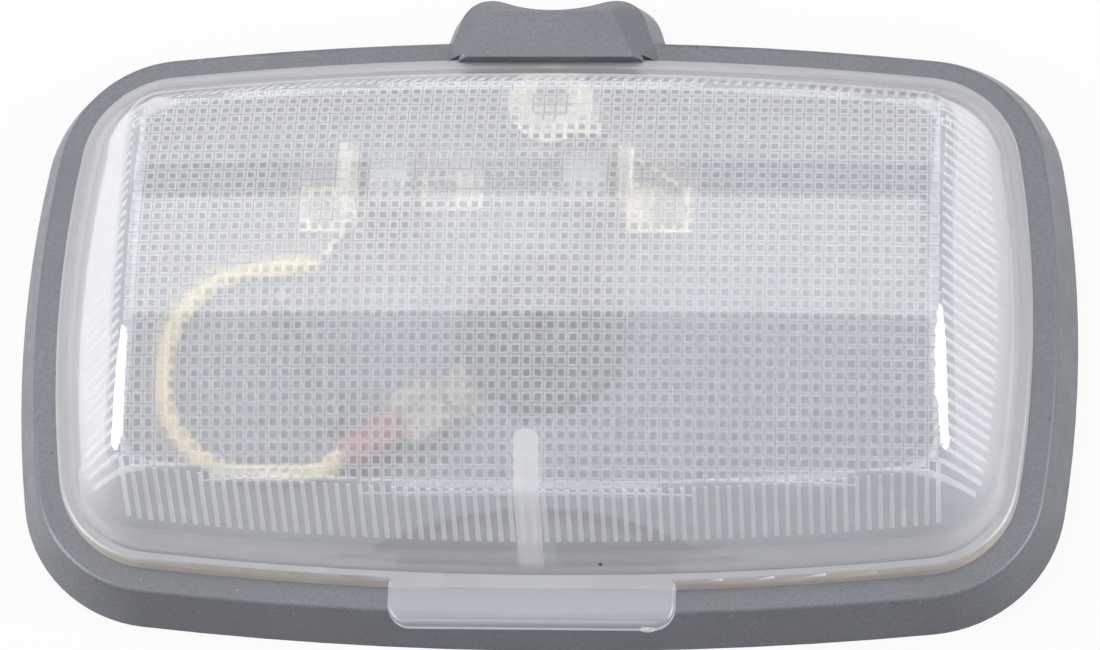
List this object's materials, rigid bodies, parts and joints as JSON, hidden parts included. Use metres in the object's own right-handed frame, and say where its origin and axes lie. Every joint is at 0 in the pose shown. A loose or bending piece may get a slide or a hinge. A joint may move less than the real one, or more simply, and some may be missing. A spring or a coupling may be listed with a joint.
{
  "type": "car dome light",
  "caption": "Car interior dome light: grey plastic base with a raised hook, milky prismatic lens with a pull tab that tilts open, tubular bulb on brass contacts, feed wire, rubber grommet.",
  "frame": {"origin": "centre of the cable grommet's bore on the back plane that lies on the roof", "axes": "+X along the lamp, +Y across it from the pull tab to the hook, +Z out of the roof towards the cabin"},
  "size_m": [0.14, 0.0909, 0.0293],
  "materials": {
    "grey_plastic": "satin moulded grey",
    "milky_plastic": "translucent milky white, polished outside",
    "brass_strip": "dull stamped brass",
    "cap_metal": "nickel plate",
    "clear_glass": "clear",
    "wire_metal": "drawn",
    "copper_core": "bare strands",
    "solder": "dull bead",
    "yellow_sheath": "soft PVC",
    "red_sleeve": "soft PVC",
    "black_rubber": "matt"
  },
  "bodies": {
    "base": {"base_housing": "grey_plastic", "fixing_eyelet": "brass_strip", "bulb_cap_left": "cap_metal", "bulb_cap_right": "cap_metal", "bulb_glass": "clear_glass", "bulb_filament": "wire_metal", "contact_left": "brass_strip", "contact_right": "brass_strip", "rivets": "brass_strip", "feed_blade": "brass_strip", "spade_terminal": "brass_strip", "spade_sleeve": "red_sleeve", "feed_wire": "yellow_sheath", "wire_core": "copper_core", "solder_bead": "solder", "cable_grommet": "black_rubber"},
    "lens_body": {"lens": "milky_plastic"}
  },
  "joints": [
    {"name": "lens_tilt", "type": "hinge", "parent": "base", "child": "lens_body", "pos_m": [0, 0.0363, 0.0089], "axis": [-1, 0, 0], "range_deg": [0, 40]}
  ]
}
